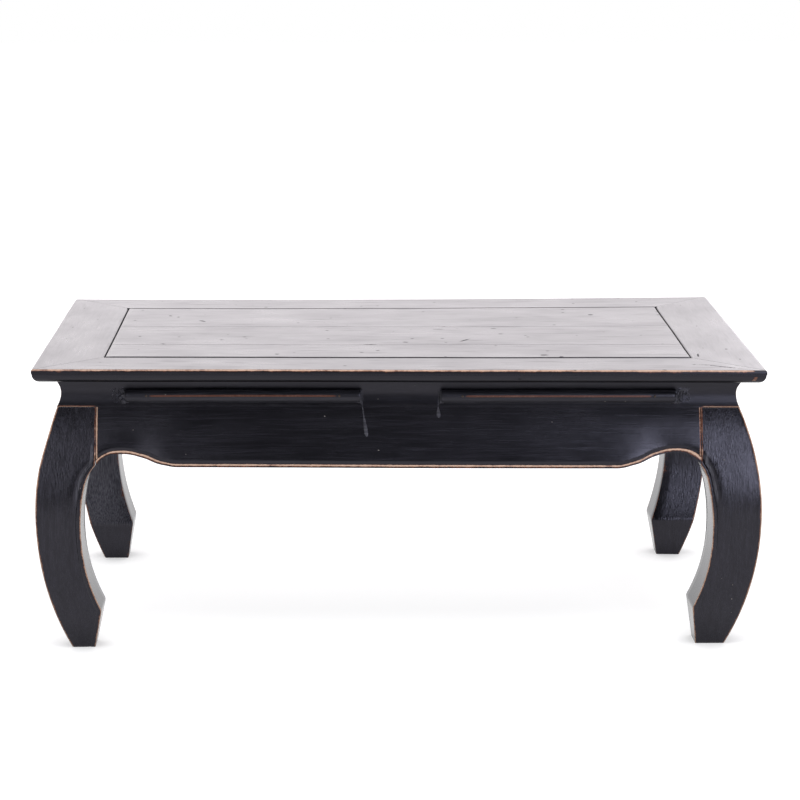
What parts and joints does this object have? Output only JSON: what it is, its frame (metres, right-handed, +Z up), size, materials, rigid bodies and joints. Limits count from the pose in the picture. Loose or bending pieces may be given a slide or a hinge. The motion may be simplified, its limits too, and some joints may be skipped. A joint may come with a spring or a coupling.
{
  "type": "opium table",
  "caption": "Low opium table in black lacquered wood: mitred frame-and-panel top, waisted bulging aprons with a beaded arch, bowed legs on hoof feet.",
  "frame": {"origin": "on the floor under the middle of the top", "axes": "+X along the length to the viewer's right, -Y out of the front, +Z up"},
  "size_m": [1, 0.6, 0.4],
  "materials": {
    "black_lacquer": "satin black lacquer, rubbed through to tan wood at the edges",
    "underside_wood": "thin black wash over bare wood",
    "brad_steel": "dull dark steel"
  },
  "bodies": {
    "root": {"top_rail_front": "black_lacquer", "top_rail_back": "black_lacquer", "top_end_left": "black_lacquer", "top_end_right": "black_lacquer", "panel_board_front": "black_lacquer", "panel_board_middle": "black_lacquer", "panel_board_back": "black_lacquer", "apron_front": "black_lacquer", "apron_back": "black_lacquer", "apron_left": "black_lacquer", "apron_right": "black_lacquer", "leg_front_left": "black_lacquer", "leg_front_right": "black_lacquer", "leg_back_left": "black_lacquer", "leg_back_right": "black_lacquer", "waist_bar_front_left": "black_lacquer", "waist_bar_front_right": "black_lacquer", "waist_bar_back_left": "black_lacquer", "waist_bar_back_right": "black_lacquer", "waist_bar_left": "black_lacquer", "waist_bar_right": "black_lacquer", "panel_batten_left": "underside_wood", "panel_batten_middle": "underside_wood", "panel_batten_right": "underside_wood", "bar_brads": "brad_steel"}
  },
  "joints": []
}
